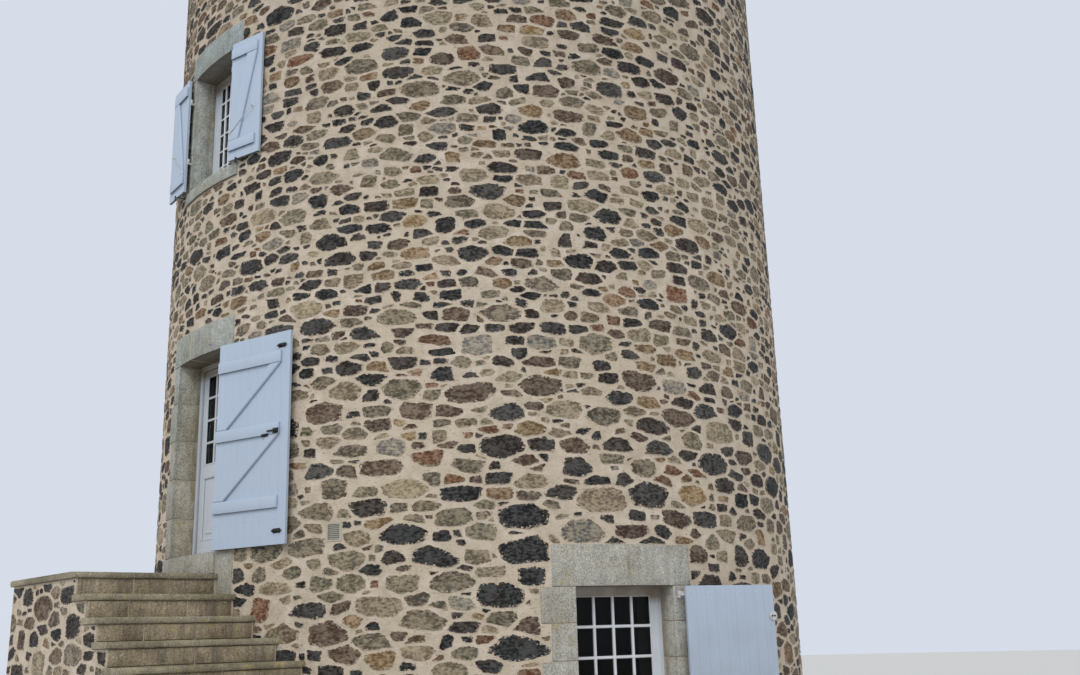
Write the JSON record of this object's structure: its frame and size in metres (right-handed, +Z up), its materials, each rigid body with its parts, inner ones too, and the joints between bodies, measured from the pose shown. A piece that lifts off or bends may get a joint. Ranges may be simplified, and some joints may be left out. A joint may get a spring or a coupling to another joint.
{
  "type": "stone windmill tower",
  "caption": "Round rubble stone mill tower lived in as a house, with granite openings, glazed door, boarded shutters, entrance stair and conical slate roof.",
  "frame": {"origin": "on the tower's axis at the lowest ground level, in the plane of the ground slab's underside", "axes": "+Z up; the door and the upper window face -Y; +X is to the right of someone who faces the door; azimuths turn from -Y towards +X"},
  "size_m": [8.0018, 8.9698, 14.4899],
  "materials": {
    "rubble": "lime mortar with rubble stones",
    "granite": "dressed granite",
    "screed": "floated slab",
    "floor_wood": "oiled boards",
    "roof_wood": "sawn oak",
    "slate": "split slates",
    "zinc": "weathered zinc",
    "joinery_paint": "white paint",
    "shutter_paint": "white paint on boards",
    "window_glass": "clear glass",
    "white_iron": "painted white",
    "black_iron": "painted black",
    "vent_plastic": "moulded",
    "stair_stone": "tooled stone",
    "tread_stone": "worn stone with moss"
  },
  "bodies": {
    "tower": {"wall_below_door": "rubble", "wall_beside_door": "rubble", "wall_above_door": "rubble", "wall_beside_upper_window": "rubble", "wall_above_upper_window": "rubble", "wall_near": "rubble", "wall_lower_window_bay": "rubble", "wall_right": "rubble", "wall_back_bay": "rubble", "wall_rear": "rubble", "wall_back_lower_bay": "rubble", "wall_far": "rubble", "door_lintel": "granite", "door_jambs": "granite", "door_threshold": "granite", "upper_window_surround": "granite", "lower_window_surround": "granite", "back_window_surrounds": "granite", "ground_floor": "screed", "door_floor": "floor_wood", "upper_floor": "floor_wood", "wall_plate": "roof_wood", "roof": "slate", "finial": "zinc", "door_frame": "joinery_paint", "upper_window_frame": "joinery_paint", "lower_window_frame": "joinery_paint", "back_window_frames": "joinery_paint", "window_glass": "window_glass", "shutter_pins": "white_iron", "shutter_catches": "black_iron", "vent_grille": "vent_plastic", "stair_masonry": "stair_stone", "stair_treads": "tread_stone", "stair_landing": "tread_stone"},
    "door": {"door_leaf": "joinery_paint", "door_glass": "window_glass"},
    "door_shutter": {"door_shutter": "shutter_paint", "door_shutter_straps": "white_iron"},
    "upper_left_shutter": {"upper_left_shutter": "shutter_paint", "upper_left_straps": "white_iron"},
    "upper_right_shutter": {"upper_right_shutter": "shutter_paint", "upper_right_straps": "white_iron"},
    "lower_shutter": {"lower_shutter": "shutter_paint", "lower_shutter_straps": "white_iron"}
  },
  "joints": [
    {"name": "door_hinge", "type": "hinge", "parent": "tower", "child": "door", "pos_m": [-0.477, -3.3972, 3.4], "axis": [0, 0, 1], "range_deg": [0, 90]},
    {"name": "door_shutter_hinge", "type": "hinge", "parent": "tower", "child": "door_shutter", "pos_m": [0.525, -3.7602, 3.4], "axis": [0, 0, -1], "range_deg": [0, 194.3]},
    {"name": "upper_left_hinge", "type": "hinge", "parent": "tower", "child": "upper_left_shutter", "pos_m": [-0.5, -3.7635, 7.2], "axis": [0, 0, 1], "range_deg": [0, 185.2]},
    {"name": "upper_right_hinge", "type": "hinge", "parent": "tower", "child": "upper_right_shutter", "pos_m": [0.5, -3.7635, 7.2], "axis": [0, 0, -1], "range_deg": [0, 193.6]},
    {"name": "lower_shutter_hinge", "type": "hinge", "parent": "tower", "child": "lower_shutter", "pos_m": [3.74641, -0.63254, 1.4], "axis": [0, 0, -1], "range_deg": [0, 178.6]}
  ]
}
